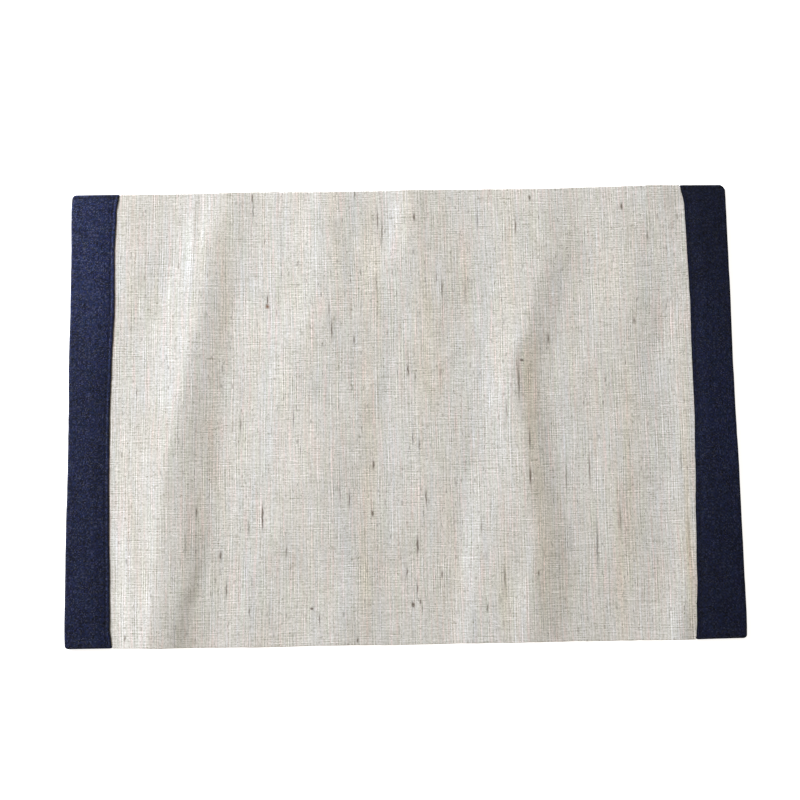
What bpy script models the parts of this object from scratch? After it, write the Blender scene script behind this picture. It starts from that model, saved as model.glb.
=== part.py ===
"""A fabric placemat lying flat: a cream slub-weave middle cloth in soft folds, with a navy binding over each
short end.

All sizes are in millimetres and become metres where a mesh is made. The mat is centred on the origin and lies
on the plane z = 0. X runs along the mat, Y from its front edge to its back edge, and Z is up.
"""

from collections import namedtuple
from math import cos, pi, sin, sqrt

import bmesh
import bpy

MM = 0.001

# the layers: the middle cloth lies between the two leaves of a binding, with a little air on each side of it
CLOTH_THICK = 1.0
LEAF_THICK = 1.0
LAYER_GAP = 0.3
CLOTH_LIFT = LEAF_THICK + LAYER_GAP
BAND_THICK = 2 * CLOTH_LIFT + CLOTH_THICK

# the outline: the back and front edges at stations along the mat, and its ends and seams at stations across
# it
EdgeStation = namedtuple("EdgeStation", "x back front")
LONG_EDGES = (
    EdgeStation(x=-242, back=165, front=-165),
    EdgeStation(x=-200, back=165, front=-165),
    EdgeStation(x=-150, back=165, front=-165.5),
    EdgeStation(x=-100, back=165.5, front=-166),
    EdgeStation(x=-50, back=164.5, front=-165.5),
    EdgeStation(x=0, back=165, front=-166),
    EdgeStation(x=50, back=165, front=-165.5),
    EdgeStation(x=100, back=164.5, front=-165.5),
    EdgeStation(x=150, back=165, front=-165.5),
    EdgeStation(x=200, back=165.5, front=-165.5),
    EdgeStation(x=242, back=165, front=-165),
)
EndStation = namedtuple("EndStation", "y left_end left_seam right_seam right_end")
SHORT_ENDS = (
    EndStation(y=-166, left_end=-241.5, left_seam=-208, right_seam=205.5, right_end=241.5),
    EndStation(y=-150, left_end=-242, left_seam=-209.5, right_seam=206.5, right_end=242),
    EndStation(y=-120, left_end=-242, left_seam=-210, right_seam=208, right_end=242),
    EndStation(y=-80, left_end=-242, left_seam=-211, right_seam=209, right_end=242),
    EndStation(y=-40, left_end=-241.5, left_seam=-211.5, right_seam=210.5, right_end=242),
    EndStation(y=0, left_end=-241.5, left_seam=-211.5, right_seam=211.5, right_end=241.5),
    EndStation(y=40, left_end=-242, left_seam=-210.5, right_seam=211.5, right_end=241.5),
    EndStation(y=80, left_end=-241.5, left_seam=-209, right_seam=212, right_end=242),
    EndStation(y=120, left_end=-241.5, left_seam=-209.5, right_seam=211.5, right_end=242),
    EndStation(y=150, left_end=-242, left_seam=-208.5, right_seam=211, right_end=242),
    EndStation(y=166, left_end=-241.5, left_seam=-206.5, right_seam=208.5, right_end=242),
)
Side = namedtuple("Side", "outward end seam back_radius front_radius")
LEFT = Side(outward=-1, end="left_end", seam="left_seam", back_radius=3.3, front_radius=2.6)
RIGHT = Side(outward=1, end="right_end", seam="right_seam", back_radius=5.5, front_radius=2.6)

# the folds: each is a soft ridge that runs from the front of the cloth towards its back, given by the
# places of its two feet and its crest, and its height, at stations across the mat. A side with cusp 1 is
# steepest at the crest, and one with cusp 0 is steepest half way down.
FoldStation = namedtuple("FoldStation", "y left_foot crest right_foot height")
Fold = namedtuple("Fold", "left_cusp right_cusp stations")
# the tall ridge beside the left binding
LEFT_RIDGE = Fold(left_cusp=1.0, right_cusp=0.3, stations=(
    FoldStation(y=-166, left_foot=-212, crest=-182, right_foot=-134, height=4.0),
    FoldStation(y=-120, left_foot=-214, crest=-178, right_foot=-131, height=4.1),
    FoldStation(y=-80, left_foot=-213, crest=-174, right_foot=-129, height=4.3),
    FoldStation(y=-40, left_foot=-212, crest=-170, right_foot=-130, height=4.4),
    FoldStation(y=0, left_foot=-212, crest=-163, right_foot=-126, height=4.2),
    FoldStation(y=40, left_foot=-201, crest=-155, right_foot=-122, height=3.8),
    FoldStation(y=80, left_foot=-185, crest=-147, right_foot=-119, height=3.2),
    FoldStation(y=120, left_foot=-168, crest=-143, right_foot=-112, height=2.1),
    FoldStation(y=166, left_foot=-160, crest=-129, right_foot=-97, height=1.1),
))
# a pleat on its right slope at the front
LEFT_PLEAT = Fold(left_cusp=0.0, right_cusp=0.2, stations=(
    FoldStation(y=-166, left_foot=-192, crest=-170, right_foot=-154, height=1.3),
    FoldStation(y=-140, left_foot=-190, crest=-165, right_foot=-151, height=1.5),
    FoldStation(y=-120, left_foot=-188, crest=-158, right_foot=-145, height=1.4),
    FoldStation(y=-100, left_foot=-186, crest=-154, right_foot=-141, height=1.0),
    FoldStation(y=-75, left_foot=-184, crest=-151, right_foot=-138, height=0.4),
    FoldStation(y=-50, left_foot=-180, crest=-149, right_foot=-136, height=0.0),
))
# the broad swell left of the middle
BROAD_SWELL = Fold(left_cusp=0.7, right_cusp=0.5, stations=(
    FoldStation(y=-166, left_foot=-134, crest=-112, right_foot=-80, height=0.7),
    FoldStation(y=-120, left_foot=-128, crest=-108, right_foot=-40, height=0.7),
    FoldStation(y=-80, left_foot=-128, crest=-85, right_foot=-10, height=1.4),
    FoldStation(y=-40, left_foot=-131, crest=-68, right_foot=-4, height=2.7),
    FoldStation(y=-10, left_foot=-129, crest=-64, right_foot=-1, height=2.6),
    FoldStation(y=20, left_foot=-123, crest=-73, right_foot=20, height=2.2),
    FoldStation(y=60, left_foot=-120, crest=-65, right_foot=52, height=2.3),
    FoldStation(y=100, left_foot=-114, crest=-60, right_foot=50, height=2.0),
    FoldStation(y=140, left_foot=-102, crest=-57, right_foot=0, height=1.2),
    FoldStation(y=166, left_foot=-96, crest=-56, right_foot=0, height=0.8),
))
# the step on the broad swell's right slope at the back
BACK_STEP = Fold(left_cusp=0.3, right_cusp=0.3, stations=(
    FoldStation(y=45, left_foot=-84, crest=-62, right_foot=-47, height=0.0),
    FoldStation(y=60, left_foot=-84, crest=-60, right_foot=-47, height=0.5),
    FoldStation(y=85, left_foot=-81, crest=-54, right_foot=-40, height=0.4),
    FoldStation(y=110, left_foot=-79, crest=-51, right_foot=-35, height=0.5),
    FoldStation(y=140, left_foot=-78, crest=-54, right_foot=-36, height=0.6),
    FoldStation(y=166, left_foot=-78, crest=-56, right_foot=-38, height=0.4),
))
# a low swell at the front
FRONT_SWELL = Fold(left_cusp=0.4, right_cusp=0.2, stations=(
    FoldStation(y=-166, left_foot=-94, crest=-50, right_foot=-15, height=1.4),
    FoldStation(y=-140, left_foot=-92, crest=-44, right_foot=-13, height=1.4),
    FoldStation(y=-120, left_foot=-90, crest=-44, right_foot=-11, height=1.0),
    FoldStation(y=-80, left_foot=-84, crest=-50, right_foot=-7, height=0.9),
    FoldStation(y=-50, left_foot=-80, crest=-56, right_foot=-14, height=0.0),
))
# the ridge down the middle
CENTRE_RIDGE = Fold(left_cusp=0.3, right_cusp=0.7, stations=(
    FoldStation(y=-110, left_foot=-23, crest=9, right_foot=60, height=0.0),
    FoldStation(y=-60, left_foot=-22, crest=11, right_foot=80, height=0.6),
    FoldStation(y=-10, left_foot=-22, crest=13, right_foot=90, height=1.1),
    FoldStation(y=20, left_foot=-10, crest=15, right_foot=80, height=0.8),
    FoldStation(y=60, left_foot=-4, crest=19, right_foot=40, height=0.7),
    FoldStation(y=100, left_foot=-24, crest=10, right_foot=55, height=1.4),
    FoldStation(y=140, left_foot=-6, crest=11, right_foot=39, height=1.8),
    FoldStation(y=166, left_foot=-6, crest=11, right_foot=33, height=1.5),
))
# the bent ridge right of the middle
RIGHT_RIDGE = Fold(left_cusp=0.7, right_cusp=0.4, stations=(
    FoldStation(y=-166, left_foot=55, crest=86, right_foot=116, height=2.6),
    FoldStation(y=-130, left_foot=59, crest=89, right_foot=123, height=3.0),
    FoldStation(y=-100, left_foot=57, crest=93, right_foot=124, height=3.2),
    FoldStation(y=-60, left_foot=48, crest=89, right_foot=116, height=3.4),
    FoldStation(y=-20, left_foot=49, crest=87, right_foot=110, height=3.1),
    FoldStation(y=20, left_foot=58, crest=80, right_foot=107, height=3.0),
    FoldStation(y=40, left_foot=57, crest=82, right_foot=109, height=3.0),
    FoldStation(y=60, left_foot=59, crest=89, right_foot=119, height=2.6),
    FoldStation(y=85, left_foot=59, crest=96, right_foot=124, height=2.2),
    FoldStation(y=120, left_foot=56, crest=107, right_foot=136, height=1.7),
    FoldStation(y=145, left_foot=56, crest=109, right_foot=136, height=0.9),
    FoldStation(y=166, left_foot=56, crest=108, right_foot=131, height=0.5),
))
# its shoulder at the front
RIGHT_SHOULDER = Fold(left_cusp=0.0, right_cusp=0.0, stations=(
    FoldStation(y=-166, left_foot=31, crest=53, right_foot=77, height=1.9),
    FoldStation(y=-140, left_foot=36, crest=54, right_foot=74, height=1.5),
    FoldStation(y=-120, left_foot=40, crest=58, right_foot=80, height=1.6),
    FoldStation(y=-100, left_foot=42, crest=61, right_foot=86, height=1.5),
    FoldStation(y=-60, left_foot=45, crest=65, right_foot=89, height=1.0),
    FoldStation(y=-30, left_foot=47, crest=66, right_foot=89, height=0.0),
))
# the front swell beside the right binding
END_SWELL_FRONT = Fold(left_cusp=0.4, right_cusp=0.9, stations=(
    FoldStation(y=-120, left_foot=130, crest=150, right_foot=172, height=0.0),
    FoldStation(y=-100, left_foot=130, crest=149, right_foot=172, height=0.2),
    FoldStation(y=-80, left_foot=130, crest=150, right_foot=174, height=0.4),
    FoldStation(y=-60, left_foot=129, crest=151, right_foot=175, height=0.6),
    FoldStation(y=-40, left_foot=133, crest=152, right_foot=176, height=0.5),
    FoldStation(y=-20, left_foot=137, crest=157, right_foot=178, height=0.4),
    FoldStation(y=0, left_foot=139, crest=159, right_foot=180, height=0.0),
))
# the back swell beside the right binding
END_SWELL_BACK = Fold(left_cusp=0.6, right_cusp=0.3, stations=(
    FoldStation(y=20, left_foot=134, crest=162, right_foot=185, height=0.2),
    FoldStation(y=40, left_foot=132, crest=162, right_foot=189, height=0.5),
    FoldStation(y=60, left_foot=128, crest=164, right_foot=193, height=1.2),
    FoldStation(y=80, left_foot=133, crest=170, right_foot=204, height=1.7),
    FoldStation(y=100, left_foot=137, crest=171, right_foot=208, height=1.4),
    FoldStation(y=120, left_foot=136, crest=174, right_foot=212, height=1.3),
    FoldStation(y=140, left_foot=130, crest=182, right_foot=216, height=1.7),
    FoldStation(y=166, left_foot=128, crest=184, right_foot=216, height=2.0),
))
# the lifted cloth at the front end of the right seam
LIFTED_CORNER = Fold(left_cusp=1.0, right_cusp=1.0, stations=(
    FoldStation(y=-166, left_foot=150, crest=206, right_foot=230, height=2.4),
    FoldStation(y=-150, left_foot=160, crest=207, right_foot=230, height=1.7),
    FoldStation(y=-130, left_foot=172, crest=208, right_foot=230, height=0.5),
    FoldStation(y=-100, left_foot=180, crest=209, right_foot=230, height=0.0),
))
FOLDS = (
    LEFT_RIDGE, LEFT_PLEAT, BROAD_SWELL, BACK_STEP, FRONT_SWELL, CENTRE_RIDGE,
    RIGHT_RIDGE, RIGHT_SHOULDER, END_SWELL_FRONT, END_SWELL_BACK, LIFTED_CORNER,
)
CREST_ROUNDING = 4.0
CUSP_EASING = 0.5

# beside each seam the cloth comes down from the binding's mouth to the table, and the folds die out towards
# it
LEFT_SETTLE = 46.0
RIGHT_SETTLE = 24.0
FOLD_START = 15.0

# the middle cloth: its hems are thinner at the very edge, and its ends are narrowed where they go into the
# bindings
CLOTH_COLUMNS = 84
CLOTH_ROWS = 20
HEM_WIDTH = 0.7
HEM_THINNING = 0.45
TUCK_DEPTHS = (26.0, 9.0)
TUCK_INSET = 1.7
NOTCH_START = 0.6
NOTCH_END = 0.3

# the bindings: sections from the mouth to the folded end, given by a share of the way or a distance from
# the end
BAND_ROWS = 18
MOUTH_SHARES = (0.0, 0.07, 0.2, 0.42, 0.64, 0.82)
END_DISTANCES = (3.2, 1.3, 0.55, 0.15, 0.0)
ARC_STEPS = 4
BAND_PUFF = 0.45
WELD_DISTANCE = 0.01

CREAM = (0.60, 0.575, 0.52, 1.0)
NAVY = (0.016, 0.020, 0.040, 1.0)
CLOTH_ROUGHNESS = 0.92


def look_up(rows, key, value, at):
    """The value column of a table at a place, eased between the rows around it. Rows rise in the key column."""
    low = rows[0]
    for high in rows[1:]:
        if at <= getattr(high, key):
            span = getattr(high, key) - getattr(low, key)
            share = min(max((at - getattr(low, key)) / span, 0.0), 1.0)
            eased = share * share * (3 - 2 * share)
            return getattr(low, value) + (getattr(high, value) - getattr(low, value)) * eased
        low = high
    return getattr(rows[-1], value)


def fade(distance, reach):
    """1 at distance 0, falling softly to 0 at the reach."""
    share = min(max(distance / reach, 0.0), 1.0)
    return 0.5 * (1 + cos(pi * share))


def fold_height(fold, x, y):
    """How high one fold lifts the cloth: a rounded crest with slopes that ease out at their feet."""
    crest = look_up(fold.stations, "y", "crest", y)
    foot = look_up(fold.stations, "y", "left_foot" if x < crest else "right_foot", y)
    cusp = fold.left_cusp if x < crest else fold.right_cusp
    away = sqrt((x - crest) ** 2 + CREST_ROUNDING ** 2) - CREST_ROUNDING
    share = min(away / abs(foot - crest), 1.0)
    cusped = (1 - share) ** 2 * (1 + CUSP_EASING * share)
    bell = 0.5 * (1 + cos(pi * share))
    return look_up(fold.stations, "y", "height", y) * (cusp * cusped + (1 - cusp) * bell)


def cloth_underside(x, y):
    """The height of the middle cloth's underside above the table."""
    from_left = x - look_up(SHORT_ENDS, "y", "left_seam", y)
    from_right = look_up(SHORT_ENDS, "y", "right_seam", y) - x
    if min(from_left, from_right) <= 0:
        return CLOTH_LIFT
    folds = sum(fold_height(fold, x, y) for fold in FOLDS)
    folds *= 1 - fade(min(from_left, from_right), FOLD_START)
    return folds + CLOTH_LIFT * (fade(from_left, LEFT_SETTLE) + fade(from_right, RIGHT_SETTLE))


def cloth_columns():
    """The columns of the cloth from left to right: a share of the way between the seams, a distance from
    there, and how far its two edges are drawn in."""
    tucks = [(-depth, TUCK_INSET) for depth in TUCK_DEPTHS]
    necks = [(NOTCH_END, TUCK_INSET), (NOTCH_START, 0.0)]
    left = [(0.0, offset, inset) for offset, inset in tucks + necks]
    right = [(1.0, -offset, inset) for offset, inset in reversed(tucks + necks)]
    middle = [(i / CLOTH_COLUMNS, 0.0, 0.0) for i in range(1, CLOTH_COLUMNS)]
    return left + middle + right


def cloth_place(column, row):
    """The place on the cloth, seen from above, of a column and of a row counted from the front edge."""
    share, offset, inset = column
    y = (row / CLOTH_ROWS - 0.5) * (LONG_EDGES[0].back - LONG_EDGES[0].front)
    for _ in range(3):
        left = look_up(SHORT_ENDS, "y", "left_seam", y)
        right = look_up(SHORT_ENDS, "y", "right_seam", y)
        x = left + (right - left) * share + offset
        front = look_up(LONG_EDGES, "x", "front", x) + inset
        back = look_up(LONG_EDGES, "x", "back", x) - inset
        hem = HEM_WIDTH if 0 < row < CLOTH_ROWS else 0.0
        inner = (row - 1) / (CLOTH_ROWS - 2)
        inner = min(max(inner, 0.0), 1.0)
        y = front + hem + (back - front - 2 * hem) * inner
    return x, y


def add_sheet(name, bm, thick, material):
    """An object from a sheet's middle surface, given its thickness evenly on both sides and shaded smooth."""
    mesh = bpy.data.meshes.new(name)
    bmesh.ops.recalc_face_normals(bm, faces=bm.faces)
    bm.to_mesh(mesh)
    bm.free()
    mesh.shade_smooth()
    mesh.materials.append(material)
    sheet = bpy.data.objects.new(name, mesh)
    bpy.context.collection.objects.link(sheet)
    solidify = sheet.modifiers.new("thickness", "SOLIDIFY")
    solidify.thickness = thick * MM
    solidify.offset = 0.0
    return sheet


def build_panel(material):
    """The cream middle cloth in its folds, its hems thinned towards the edge."""
    columns = cloth_columns()
    bm = bmesh.new()
    bmesh.ops.create_grid(bm, x_segments=len(columns) - 1, y_segments=CLOTH_ROWS, size=0.5)
    hem_vertices = []
    for vertex in bm.verts:
        column = round((vertex.co.x + 0.5) * (len(columns) - 1))
        row = round((vertex.co.y + 0.5) * CLOTH_ROWS)
        x, y = cloth_place(columns[column], row)
        z = cloth_underside(x, y) + CLOTH_THICK / 2
        vertex.co = (x * MM, y * MM, z * MM)
        if row in (0, CLOTH_ROWS):
            hem_vertices.append(vertex.index)
    total = len(bm.verts)
    panel = add_sheet("panel", bm, CLOTH_THICK, material)
    group = panel.vertex_groups.new(name="share_of_thickness")
    group.add(list(range(total)), 1.0, "REPLACE")
    group.add(hem_vertices, HEM_THINNING, "REPLACE")
    panel.modifiers["thickness"].vertex_group = group.name
    return panel


def section_points(place, front, back, low, high):
    """One section of a binding's middle surface: a long flat loop across the mat, with a half-round turn at
    its front and its back. place gives x at a given y."""
    radius = (high - low) / 2
    middle = (high + low) / 2
    rows = [front + radius + (back - front - 2 * radius) * k / BAND_ROWS for k in range(BAND_ROWS + 1)]
    turns = [pi * k / ARC_STEPS for k in range(1, ARC_STEPS)]
    upper = [(y, high) for y in rows]
    back_turn = [(rows[-1] + radius * sin(turn), middle + radius * cos(turn)) for turn in turns]
    lower = [(y, low) for y in reversed(rows)]
    front_turn = [(rows[0] - radius * sin(turn), middle - radius * cos(turn)) for turn in turns]
    return [(place(y), y, z) for y, z in upper + back_turn + lower + front_turn]


def corner_cut(radius, distance):
    """How much a rounded corner shortens a section that lies at a distance from the folded end."""
    return radius - sqrt(radius ** 2 - max(radius - distance, 0.0) ** 2)


def band_sections(side):
    """The sections of a binding's middle surface, from its open mouth to its folded end."""
    half_leaf = LEAF_THICK / 2
    turn_radius = BAND_THICK / 2 - half_leaf

    def seam_at(y):
        return look_up(SHORT_ENDS, "y", side.seam, y)

    def end_at(y):
        return look_up(SHORT_ENDS, "y", side.end, y) - side.outward * half_leaf

    def long_edges(x):
        front = look_up(LONG_EDGES, "x", "front", x) + half_leaf
        return front, look_up(LONG_EDGES, "x", "back", x) - half_leaf

    sections = []
    for share in MOUTH_SHARES:
        front, back = long_edges(seam_at(0) + (end_at(0) - seam_at(0)) * share)
        high = BAND_THICK - half_leaf + BAND_PUFF * sin(pi * share)
        sections.append(section_points(
            lambda y: seam_at(y) + (end_at(y) - seam_at(y)) * share, front, back, half_leaf, high))
    for distance in END_DISTANCES:
        front, back = long_edges(end_at(0))
        front += corner_cut(side.front_radius - half_leaf, distance)
        back -= corner_cut(side.back_radius - half_leaf, distance)
        half = sqrt(turn_radius ** 2 - max(turn_radius - distance, 0.0) ** 2)
        sections.append(section_points(
            lambda y: end_at(y) - side.outward * distance, front, back,
            BAND_THICK / 2 - half, BAND_THICK / 2 + half))
    return sections


def build_band(name, side, material):
    """A navy binding: a strip folded over the end of the cloth, open at its mouth and sewn shut elsewhere."""
    bm = bmesh.new()
    previous = None
    for points in band_sections(side):
        vertices = [bm.verts.new((x * MM, y * MM, z * MM)) for x, y, z in points]
        ring = [bm.edges.new((a, b)) for a, b in zip(vertices, vertices[1:] + vertices[:1])]
        if previous:
            bmesh.ops.bridge_loops(bm, edges=previous + ring)
        previous = ring
    bmesh.ops.remove_doubles(bm, verts=bm.verts, dist=WELD_DISTANCE * MM)
    return add_sheet(name, bm, LEAF_THICK, material)


def cloth_material(name, colour):
    """A dull woven cloth of one colour."""
    material = bpy.data.materials.new(name)
    material.use_nodes = True
    shader = material.node_tree.nodes["Principled BSDF"]
    shader.inputs["Base Color"].default_value = colour
    shader.inputs["Roughness"].default_value = CLOTH_ROUGHNESS
    shader.inputs["Metallic"].default_value = 0.0
    material.diffuse_color = colour
    return material


def clear_scene():
    for placed in list(bpy.data.objects):
        bpy.data.objects.remove(placed, do_unlink=True)


def build_placemat():
    clear_scene()
    build_panel(cloth_material("cream_slub_cloth", CREAM))
    build_band("band_left", LEFT, cloth_material("navy_cloth_left", NAVY))
    build_band("band_right", RIGHT, cloth_material("navy_cloth_right", NAVY))


build_placemat()
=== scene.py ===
"""The looks of a fabric placemat: a cream slub-weave cloth in soft folds, between two navy bindings.

Sizes are in millimetres and become metres where a mesh is made. X runs along the mat, Y towards its back edge
and Z up.
"""

from collections import namedtuple
from math import cos, pi, radians, sin

import bmesh
import bpy
import numpy as np
from mathutils import Matrix, Vector


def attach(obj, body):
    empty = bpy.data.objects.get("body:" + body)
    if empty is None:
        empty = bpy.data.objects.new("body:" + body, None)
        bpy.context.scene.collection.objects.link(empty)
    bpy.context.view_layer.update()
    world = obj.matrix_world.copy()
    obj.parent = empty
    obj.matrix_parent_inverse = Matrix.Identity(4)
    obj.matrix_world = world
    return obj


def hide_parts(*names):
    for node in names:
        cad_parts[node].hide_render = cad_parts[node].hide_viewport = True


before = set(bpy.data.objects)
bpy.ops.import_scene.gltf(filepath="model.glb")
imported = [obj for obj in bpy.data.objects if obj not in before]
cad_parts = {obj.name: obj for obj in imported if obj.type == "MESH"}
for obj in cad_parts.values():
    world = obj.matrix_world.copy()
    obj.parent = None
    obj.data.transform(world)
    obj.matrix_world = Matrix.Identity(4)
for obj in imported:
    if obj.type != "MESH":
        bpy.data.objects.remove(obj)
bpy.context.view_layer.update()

MM = 0.001

# the layers, as in the solids
CLOTH_THICK = 1.0
LEAF_THICK = 1.0
LAYER_GAP = 0.3
CLOTH_LIFT = LEAF_THICK + LAYER_GAP
BAND_THICK = 2 * CLOTH_LIFT + CLOTH_THICK

# the outline: back and front edges at stations along the mat, ends and seams at stations across it
LONG_EDGES = {
    "x": (-242, -200, -150, -100, -50, 0, 50, 100, 150, 200, 242),
    "back": (165, 165, 165, 165.5, 164.5, 165, 165, 164.5, 165, 165.5, 165),
    "front": (-165, -165, -165.5, -166, -165.5, -166, -165.5, -165.5, -165.5, -165.5, -165),
}
SHORT_ENDS = {
    "y": (-166, -150, -120, -80, -40, 0, 40, 80, 120, 150, 166),
    "left_end": (-241.5, -242, -242, -242, -241.5, -241.5, -242, -241.5, -241.5, -242, -241.5),
    "left_seam": (-208, -209.5, -210, -211, -211.5, -211.5, -210.5, -209, -209.5, -208.5, -206.5),
    "right_seam": (205.5, 206.5, 208, 209, 210.5, 211.5, 211.5, 212, 211.5, 211, 208.5),
    "right_end": (241.5, 242, 242, 242, 242, 241.5, 241.5, 242, 242, 242, 242),
}
MAT_WIDTH = 330.0

# the two ends: which way is outward, their columns of the table, and the radii of their corners
Side = namedtuple("Side", "name outward end seam back_radius front_radius")
LEFT = Side("left", -1, "left_end", "left_seam", 3.3, 2.6)
RIGHT = Side("right", 1, "right_end", "right_seam", 5.5, 2.6)

# the folds, as in the solids: each ridge's left foot, crest, right foot and height at stations from front to
# back, and how cusped (1) or bell-like (0) its two sides are. A rounding is for a crest that is sharper here.
FOLDS = (
    # the tall ridge beside the left binding
    {"y": (-166, -120, -80, -40, 0, 40, 80, 120, 166),
     "left_foot": (-212, -214, -213, -212, -212, -201, -185, -168, -160),
     "crest": (-182, -178, -174, -170, -163, -155, -147, -143, -129),
     "right_foot": (-134, -131, -129, -130, -126, -122, -119, -112, -97),
     "height": (4.0, 4.1, 4.3, 4.4, 4.2, 3.8, 3.2, 2.1, 1.1),
     "left_cusp": 1.0, "right_cusp": 0.3, "rounding": 1.5},
    # a pleat on its right slope at the front
    {"y": (-166, -140, -120, -100, -75, -50),
     "left_foot": (-192, -190, -188, -186, -184, -180),
     "crest": (-170, -165, -158, -154, -151, -149),
     "right_foot": (-154, -151, -145, -141, -138, -136),
     "height": (1.3, 1.5, 1.4, 1.0, 0.4, 0.0),
     "left_cusp": 0.0, "right_cusp": 0.2, "rounding": 2.0},
    # the broad swell left of the middle
    {"y": (-166, -120, -80, -40, -10, 20, 60, 100, 140, 166),
     "left_foot": (-134, -128, -128, -131, -129, -123, -120, -114, -102, -96),
     "crest": (-112, -108, -85, -68, -64, -73, -65, -60, -57, -56),
     "right_foot": (-80, -40, -10, -4, -1, 20, 52, 50, 0, 0),
     "height": (0.7, 0.7, 1.4, 2.7, 2.6, 2.2, 2.3, 2.0, 1.2, 0.8),
     "left_cusp": 0.7, "right_cusp": 0.5},
    # the step on the broad swell's right slope at the back
    {"y": (45, 60, 85, 110, 140, 166),
     "left_foot": (-84, -84, -81, -79, -78, -78),
     "crest": (-62, -60, -54, -51, -54, -56),
     "right_foot": (-47, -47, -40, -35, -36, -38),
     "height": (0.0, 0.5, 0.4, 0.5, 0.6, 0.4),
     "left_cusp": 0.3, "right_cusp": 0.3},
    # a low swell at the front
    {"y": (-166, -140, -120, -80, -50),
     "left_foot": (-94, -92, -90, -84, -80),
     "crest": (-50, -44, -44, -50, -56),
     "right_foot": (-15, -13, -11, -7, -14),
     "height": (1.4, 1.4, 1.0, 0.9, 0.0),
     "left_cusp": 0.4, "right_cusp": 0.2},
    # the ridge down the middle
    {"y": (-110, -60, -10, 20, 60, 100, 140, 166),
     "left_foot": (-23, -22, -22, -10, -4, -24, -6, -6),
     "crest": (9, 11, 13, 15, 19, 10, 11, 11),
     "right_foot": (60, 80, 90, 80, 40, 55, 39, 33),
     "height": (0.0, 0.6, 1.1, 0.8, 0.7, 1.4, 1.8, 1.5),
     "left_cusp": 0.3, "right_cusp": 0.7},
    # the bent ridge right of the middle
    {"y": (-166, -130, -100, -60, -20, 20, 40, 60, 85, 120, 145, 166),
     "left_foot": (55, 59, 57, 48, 49, 58, 57, 59, 59, 56, 56, 56),
     "crest": (86, 89, 93, 89, 87, 80, 82, 89, 96, 107, 109, 108),
     "right_foot": (116, 123, 124, 116, 110, 107, 109, 119, 124, 136, 136, 131),
     "height": (2.6, 3.0, 3.2, 3.4, 3.1, 3.0, 3.0, 2.6, 2.2, 1.7, 0.9, 0.5),
     "left_cusp": 0.7, "right_cusp": 0.4, "rounding": 2.0},
    # its shoulder at the front
    {"y": (-166, -140, -120, -100, -60, -30),
     "left_foot": (31, 36, 40, 42, 45, 47),
     "crest": (53, 54, 58, 61, 65, 66),
     "right_foot": (77, 74, 80, 86, 89, 89),
     "height": (1.9, 1.5, 1.6, 1.5, 1.0, 0.0),
     "left_cusp": 0.0, "right_cusp": 0.0},
    # the front swell beside the right binding
    {"y": (-120, -100, -80, -60, -40, -20, 0),
     "left_foot": (130, 130, 130, 129, 133, 137, 139),
     "crest": (150, 149, 150, 151, 152, 157, 159),
     "right_foot": (172, 172, 174, 175, 176, 178, 180),
     "height": (0.0, 0.2, 0.4, 0.6, 0.5, 0.4, 0.0),
     "left_cusp": 0.4, "right_cusp": 0.9},
    # the back swell beside the right binding
    {"y": (20, 40, 60, 80, 100, 120, 140, 166),
     "left_foot": (134, 132, 128, 133, 137, 136, 130, 128),
     "crest": (162, 162, 164, 170, 171, 174, 182, 184),
     "right_foot": (185, 189, 193, 204, 208, 212, 216, 216),
     "height": (0.2, 0.5, 1.2, 1.7, 1.4, 1.3, 1.7, 2.0),
     "left_cusp": 0.6, "right_cusp": 0.3},
    # the lifted cloth at the front end of the right seam
    {"y": (-166, -150, -130, -100),
     "left_foot": (150, 160, 172, 180),
     "crest": (206, 207, 208, 209),
     "right_foot": (230, 230, 230, 230),
     "height": (2.4, 1.7, 0.5, 0.0),
     "left_cusp": 1.0, "right_cusp": 1.0},
)
CREST_ROUNDING = 4.0
CUSP_EASING = 0.5

# how far from each binding the cloth has come down and its folds start, and the least rise over the table
LEFT_SETTLE = 46.0
RIGHT_SETTLE = 24.0
FOLD_START = 15.0
MEAN_LIFT = 0.12
LEAST_LIFT = 0.02

# small creases of the middle cloth: a line from one point to another, its half width, and its rise (a dip if
# below 0)
Crease = namedtuple("Crease", "x0 y0 x1 y1 half_width rise")
CREASES = [Crease(*row) for row in (
    (-28, -32, -31, 4, 7, 0.28),
    (-31, 4, -10, 34, 7, 0.28),
    (0, 26, 9, 62, 7, 0.20),
    (22, 40, 30, 96, 6, 0.30),
    (48, 84, 54, 120, 7, 0.20),
    (22, 31, 50, 52, 5, 0.30),
    (-158, -90, -151, -20, 5, 0.22),
    (-200, 88, -180, 130, 10, 0.25),
    (-74, -85, -58, -50, 8, 0.20),
    (60, -110, 72, -150, 7, 0.15),
    (168, 30, 184, 70, 8, 0.30),
    (152, -50, 158, -105, 6, 0.25),
    (126, 10, 134, 40, 7, 0.25),
    (108, 130, 96, 158, 8, 0.35),
    (86, 130, 74, 158, 8, 0.20),
    (-113, -12, -108, 30, 8, -0.15),
    (190, -20, 204, -60, 8, 0.2),
    (24, 136, 20, 162, 6, -0.3),
    (-151, 172, -153, 96, 2.2, 0.45),
    (4, 90, 6, 150, 6, 0.12),
    (-143, -12, -143, -62, 6, 0.28),
    (42, -55, 36, -125, 5, -0.22),
    (-197, -185, -199, -70, 11, 0.55),
    (166, 50, 166, 100, 8, 0.20),
    (-128, -50, -98, -45, 5, 0.18),
)]

# the grid of random values that soft noise is read from, and where the mat's middle lies in it
NOISE_LATTICE = 160
NOISE_START = (64.37, 64.71)


def eased(share):
    """A share of 0 to 1 that starts and stops softly."""
    return share * share * (3 - 2 * share)


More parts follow.
